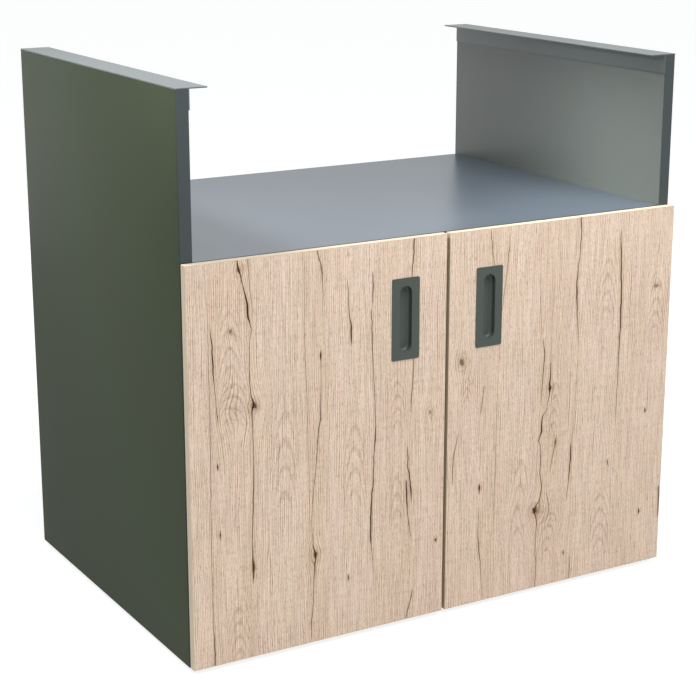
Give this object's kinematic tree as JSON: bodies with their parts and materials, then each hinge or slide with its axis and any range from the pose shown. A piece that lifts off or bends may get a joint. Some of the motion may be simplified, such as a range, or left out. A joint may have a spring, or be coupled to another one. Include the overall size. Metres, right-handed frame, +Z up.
{
  "type": "outdoor kitchen cabinet",
  "caption": "Free-standing outdoor kitchen base cabinet: sheet-metal sides with top rails for a drop-in grill, a deck, and oak-faced doors with flush pulls over storage.",
  "frame": {"origin": "on the floor under the middle of the cabinet", "axes": "+Z up, the doors face -Y, +X to the right as seen from the front"},
  "size_m": [0.9, 0.63, 0.888],
  "materials": {
    "powder_coat": "fine satin powder coat, olive anthracite",
    "oak_board": "rustic pale oak, upright grain, matt",
    "edge_band": "pale cream edge band",
    "pull_coat": "satin powder coat, dark grey-green",
    "hinge_steel": "nickel plated",
    "zinc_steel": "zinc plated",
    "black_plastic": "moulded, fine grain",
    "black_rubber": "matt",
    "clear_rubber": "milky silicone"
  },
  "bodies": {
    "cabinet": {"base_floor": "powder_coat", "floor_screws": "zinc_steel", "foot_nuts": "zinc_steel", "hinge_arm_screws": "zinc_steel", "hinge_plate_screws": "zinc_steel", "hose_grommet": "black_rubber", "left_catch": "black_plastic", "left_inner_skin": "powder_coat", "left_lower_hinge_arm": "hinge_steel", "left_lower_hinge_plate": "hinge_steel", "left_outer_skin": "powder_coat", "left_stiffeners": "powder_coat", "left_top_rail": "powder_coat", "left_upper_hinge_arm": "hinge_steel", "left_upper_hinge_plate": "hinge_steel", "rear_panel": "powder_coat", "rear_panel_screws": "zinc_steel", "right_catch": "black_plastic", "right_inner_skin": "powder_coat", "right_lower_hinge_arm": "hinge_steel", "right_lower_hinge_plate": "hinge_steel", "right_outer_skin": "powder_coat", "right_stiffeners": "powder_coat", "right_top_rail": "powder_coat", "right_upper_hinge_arm": "hinge_steel", "right_upper_hinge_plate": "hinge_steel", "shelf_screws": "zinc_steel", "upper_shelf": "powder_coat"},
    "front_left_foot": {"front_left_foot_pad": "black_plastic", "front_left_foot_spindle": "zinc_steel"},
    "front_right_foot": {"front_right_foot_pad": "black_plastic", "front_right_foot_spindle": "zinc_steel"},
    "left_door": {"left_cup_screws": "zinc_steel", "left_door_board": "oak_board", "left_door_buffers": "clear_rubber", "left_door_edging": "edge_band", "left_lower_hinge_cup": "hinge_steel", "left_lower_hinge_pin": "hinge_steel", "left_pull": "pull_coat", "left_strike": "hinge_steel", "left_upper_hinge_cup": "hinge_steel", "left_upper_hinge_pin": "hinge_steel"},
    "rear_left_foot": {"rear_left_foot_pad": "black_plastic", "rear_left_foot_spindle": "zinc_steel"},
    "rear_right_foot": {"rear_right_foot_pad": "black_plastic", "rear_right_foot_spindle": "zinc_steel"},
    "right_door": {"right_cup_screws": "zinc_steel", "right_door_board": "oak_board", "right_door_buffers": "clear_rubber", "right_door_edging": "edge_band", "right_lower_hinge_cup": "hinge_steel", "right_lower_hinge_pin": "hinge_steel", "right_pull": "pull_coat", "right_strike": "hinge_steel", "right_upper_hinge_cup": "hinge_steel", "right_upper_hinge_pin": "hinge_steel"}
  },
  "joints": [
    {"name": "left_door_swing", "type": "hinge", "parent": "cabinet", "child": "left_door", "pos_m": [-0.4435, -0.3085, 0], "axis": [0, 0, -1], "range_deg": [0, 95]},
    {"name": "right_door_swing", "type": "hinge", "parent": "cabinet", "child": "right_door", "pos_m": [0.4435, -0.3085, 0], "axis": [0, 0, 1], "range_deg": [0, 95]},
    {"name": "front_left_foot_travel", "type": "slide", "parent": "cabinet", "child": "front_left_foot", "axis": [0, 0, 1], "range_m": [-0.015, 0]},
    {"name": "front_right_foot_travel", "type": "slide", "parent": "cabinet", "child": "front_right_foot", "axis": [0, 0, 1], "range_m": [-0.015, 0]},
    {"name": "rear_left_foot_travel", "type": "slide", "parent": "cabinet", "child": "rear_left_foot", "axis": [0, 0, 1], "range_m": [-0.015, 0]},
    {"name": "rear_right_foot_travel", "type": "slide", "parent": "cabinet", "child": "rear_right_foot", "axis": [0, 0, 1], "range_m": [-0.015, 0]}
  ]
}
